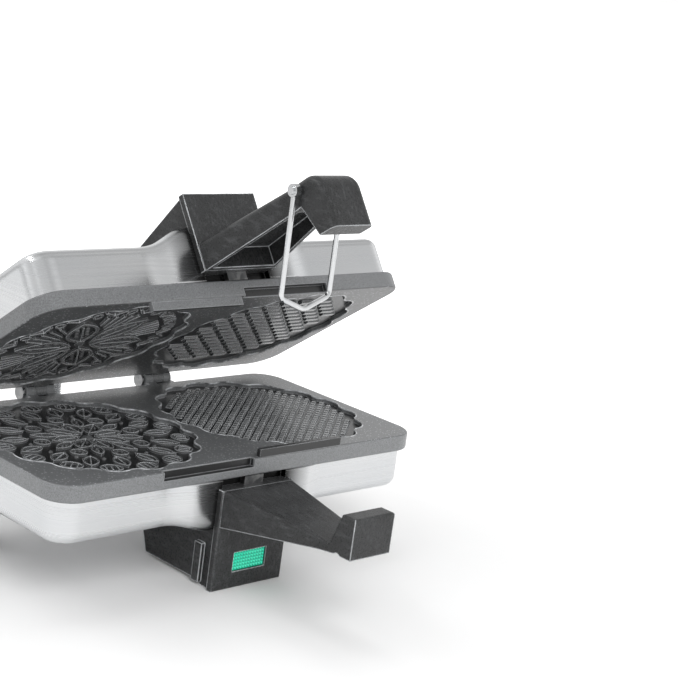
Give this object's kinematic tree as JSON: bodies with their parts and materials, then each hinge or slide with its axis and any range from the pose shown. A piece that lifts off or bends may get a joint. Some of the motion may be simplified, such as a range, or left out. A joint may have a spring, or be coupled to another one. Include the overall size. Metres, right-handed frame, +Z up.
{
  "type": "electric wafer iron",
  "caption": "Hinged electric wafer iron with patterned round baking cavities, steel shells, black guards, forward handles and a wire latch.",
  "frame": {"origin": "centre of the flat face of the front foot, on the table", "axes": "+Z up, +X to the right as seen from the front, -Y towards the handles"},
  "size_m": [0.27, 0.2705, 0.241],
  "materials": {
    "nonstick_cast": "non-stick coated casting",
    "shell_steel": "brushed",
    "black_moulding": "semi-gloss moulding",
    "foot_black": "matt moulding",
    "bright_wire": "bright plated",
    "conduit_metal": "interlocked strip",
    "plain_steel": "plain",
    "reflector_aluminium": "bright sheet",
    "green_lens": "prismatic",
    "lamp_glass": "clear",
    "inner_plastic": "moulded"
  },
  "bodies": {
    "base": {"lower_plate": "nonstick_cast", "lower_shell": "shell_steel", "lower_guard": "black_moulding", "lower_handle": "black_moulding", "left_rear_foot": "foot_black", "right_rear_foot": "foot_black", "cord_gland": "foot_black", "lower_conduit_bush": "foot_black", "lower_shell_screws": "bright_wire", "lower_conduit": "conduit_metal", "lower_guard_bracket": "plain_steel", "lower_heater_clamp": "plain_steel", "lower_clamp_screws": "plain_steel", "lower_heater": "plain_steel", "lower_reflector": "reflector_aluminium", "indicator_lens": "green_lens", "indicator_lamp": "lamp_glass", "lamp_holder": "inner_plastic", "terminal_block": "inner_plastic", "thermostat": "inner_plastic", "thermal_fuse": "inner_plastic"},
    "hinge_pin_pair": {"hinge_pins": "bright_wire"},
    "lid": {"upper_plate": "nonstick_cast", "upper_shell": "shell_steel", "upper_guard": "black_moulding", "upper_handle": "black_moulding", "upper_conduit_bush": "foot_black", "upper_shell_screws": "bright_wire", "upper_conduit": "conduit_metal", "upper_guard_bracket": "plain_steel", "upper_heater_clamp": "plain_steel", "upper_clamp_screws": "plain_steel", "upper_heater": "plain_steel", "upper_reflector": "reflector_aluminium"},
    "latch_pivot": {"latch_pivot_pin": "bright_wire"},
    "latch": {"latch_bail": "bright_wire"}
  },
  "joints": [
    {"name": "lid_close", "type": "hinge", "parent": "base", "child": "hinge_pin_pair", "pos_m": [0, 0.1485, 0.075], "axis": [-1, 0, 0], "range_deg": [-35, 0], "deforming": ["lower_conduit"]},
    {"name": "lid_open", "type": "hinge", "parent": "hinge_pin_pair", "child": "lid", "pos_m": [0, 0.1485, 0.075], "axis": [-1, 0, 0], "range_deg": [0, 60], "deforming": ["upper_conduit"]},
    {"name": "bail_follow", "type": "hinge", "parent": "lid", "child": "latch_pivot", "pos_m": [0, -0.0227, 0.2315], "axis": [-1, 0, 0], "range_deg": [0, 69]},
    {"name": "bail_swing", "type": "hinge", "parent": "latch_pivot", "child": "latch", "pos_m": [0, -0.0227, 0.2315], "axis": [-1, 0, 0], "range_deg": [-26, 50]}
  ],
  "couplings": [
    {"joint": "bail_follow", "follows": "lid_close", "ratio": -1.9714}
  ]
}
